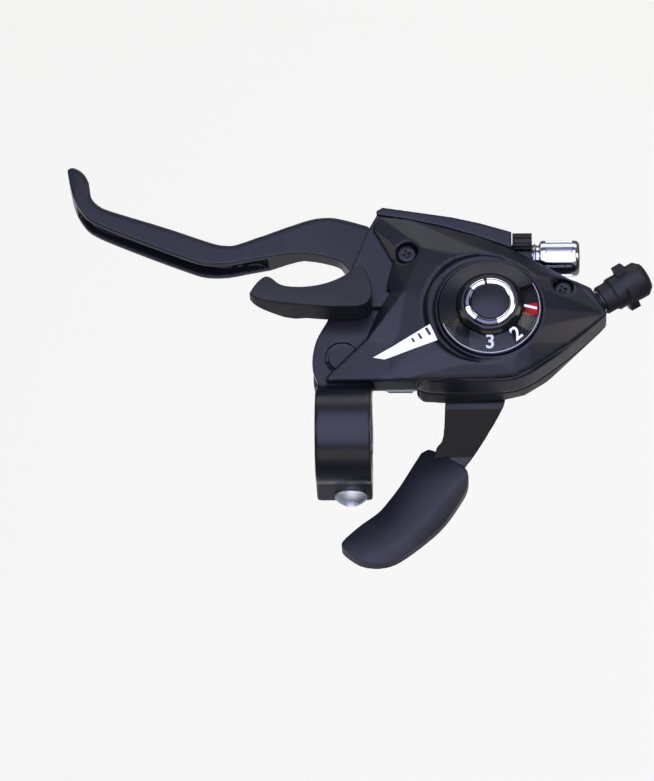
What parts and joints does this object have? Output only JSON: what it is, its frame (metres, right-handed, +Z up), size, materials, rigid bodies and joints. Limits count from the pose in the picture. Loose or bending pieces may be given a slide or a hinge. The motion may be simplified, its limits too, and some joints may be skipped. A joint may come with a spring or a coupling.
{
  "type": "bicycle shifter",
  "caption": "Left-hand flat-bar trigger shifter with a gear dial, built into a brake lever bracket with clamp, thumb lever and index-finger release.",
  "frame": {"origin": "centre of the handlebar bore of the clamp", "axes": "+X along the handlebar towards the stem; +Y forward, away from the rider; +Z up out of the dial"},
  "size_m": [0.1897, 0.1279, 0.0509],
  "materials": {
    "painted_alloy": "satin black paint on cast alloy",
    "black_steel": "black coated sheet steel",
    "zinc_steel": "bright zinc plate",
    "bright_steel": "ground steel",
    "spring_steel": "oiled spring wire",
    "bearing_plastic": "natural acetal",
    "plated_alloy": "polished and plated",
    "chrome_plate": "mirror chrome on plastic",
    "moulded_black": "fine moulded grain",
    "textured_black": "moulded, with a grained side",
    "satin_black": "satin moulded top",
    "white_print": "white film",
    "red_print": "red",
    "clear_window": "clear acrylic"
  },
  "bodies": {
    "frame": {"bracket": "painted_alloy", "clamp_bolt": "zinc_steel", "clamp_nut": "zinc_steel", "lever_axle": "bright_steel", "lever_return_spring": "spring_steel", "base_plate": "zinc_steel", "main_axle": "bright_steel", "axle_nut": "zinc_steel", "spacer_sleeve": "bright_steel", "drum_spring": "spring_steel", "hold_pawl_pin": "bright_steel", "hold_pawl_spring": "spring_steel", "thumb_spring": "spring_steel", "release_spring": "spring_steel", "lower_cover": "moulded_black", "upper_cover": "satin_black", "cover_screws": "black_steel", "plate_screws": "zinc_steel", "side_label": "white_print", "dial_window": "clear_window", "dial_bezel": "moulded_black", "chrome_ring": "chrome_plate", "dial_cap": "satin_black", "adjuster_click_spring": "spring_steel"},
    "brake_lever": {"brake_lever": "painted_alloy", "lever_bush": "bearing_plastic"},
    "brake_adjuster": {"brake_adjuster": "plated_alloy"},
    "adjuster_locknut": {"adjuster_locknut": "moulded_black"},
    "drum": {"cable_drum": "moulded_black", "ratchet_wheel": "bright_steel", "indicator_disc": "moulded_black", "gear_pointer": "red_print"},
    "thumb_lever": {"thumb_lever_arm": "black_steel", "thumb_pad": "textured_black", "drive_pawl_pin": "bright_steel", "drive_pawl_spring": "spring_steel"},
    "drive_pawl": {"drive_pawl": "bright_steel"},
    "hold_pawl": {"hold_pawl": "bright_steel"},
    "release": {"release_arm": "black_steel", "release_trigger": "moulded_black"},
    "shift_adjuster": {"shift_adjuster": "moulded_black"}
  },
  "joints": [
    {"name": "brake_pull", "type": "hinge", "parent": "frame", "child": "brake_lever", "pos_m": [-0.0005, 0.0236, 0], "axis": [0, 0, 1], "range_deg": [0, 20], "stiffness_Nm_per_rad": 0.25, "springref_deg": -20.05, "deforming": ["lever_return_spring"]},
    {"name": "thumb_push", "type": "hinge", "parent": "frame", "child": "thumb_lever", "pos_m": [0.047, 0.037, 0], "axis": [0, 0, 1], "range_deg": [-38, 0], "stiffness_Nm_per_rad": 0.12, "springref_deg": 28.65, "deforming": ["thumb_spring"]},
    {"name": "trigger_pull", "type": "hinge", "parent": "frame", "child": "release", "pos_m": [0.047, 0.037, 0], "axis": [0, 0, 1], "range_deg": [0, 8], "stiffness_Nm_per_rad": 0.15, "springref_deg": -22.92, "deforming": ["release_spring"]},
    {"name": "drum_turn", "type": "hinge", "parent": "frame", "child": "drum", "pos_m": [0.047, 0.037, 0], "axis": [0, 0, 1], "range_deg": [-78, 0], "stiffness_Nm_per_rad": 0.04, "springref_deg": 28.65, "deforming": ["drum_spring"]},
    {"name": "drive_pawl_swing", "type": "hinge", "parent": "thumb_lever", "child": "drive_pawl", "pos_m": [0.0543, 0.02436, -0.003], "axis": [0, 0, 1], "range_deg": [-6, 0], "stiffness_Nm_per_rad": 0.002, "springref_deg": 17.19, "deforming": ["drive_pawl_spring"]},
    {"name": "hold_pawl_swing", "type": "hinge", "parent": "frame", "child": "hold_pawl", "pos_m": [0.06168, 0.04093, -0.003], "axis": [0, 0, 1], "range_deg": [0, 6], "stiffness_Nm_per_rad": 0.002, "springref_deg": -17.19, "deforming": ["hold_pawl_spring"]},
    {"name": "brake_adjuster_turn", "type": "hinge", "parent": "frame", "child": "brake_adjuster", "pos_m": [0.06, 0.0618, 0], "axis": [1, 0, 0], "continuous": true},
    {"name": "locknut_turn", "type": "hinge", "parent": "frame", "child": "adjuster_locknut", "pos_m": [0.057, 0.0618, 0], "axis": [1, 0, 0], "continuous": true},
    {"name": "shift_adjuster_turn", "type": "hinge", "parent": "frame", "child": "shift_adjuster", "pos_m": [0.08744, 0.04764, 0.004], "axis": [0.8508, 0.5255, 0], "continuous": true}
  ]
}
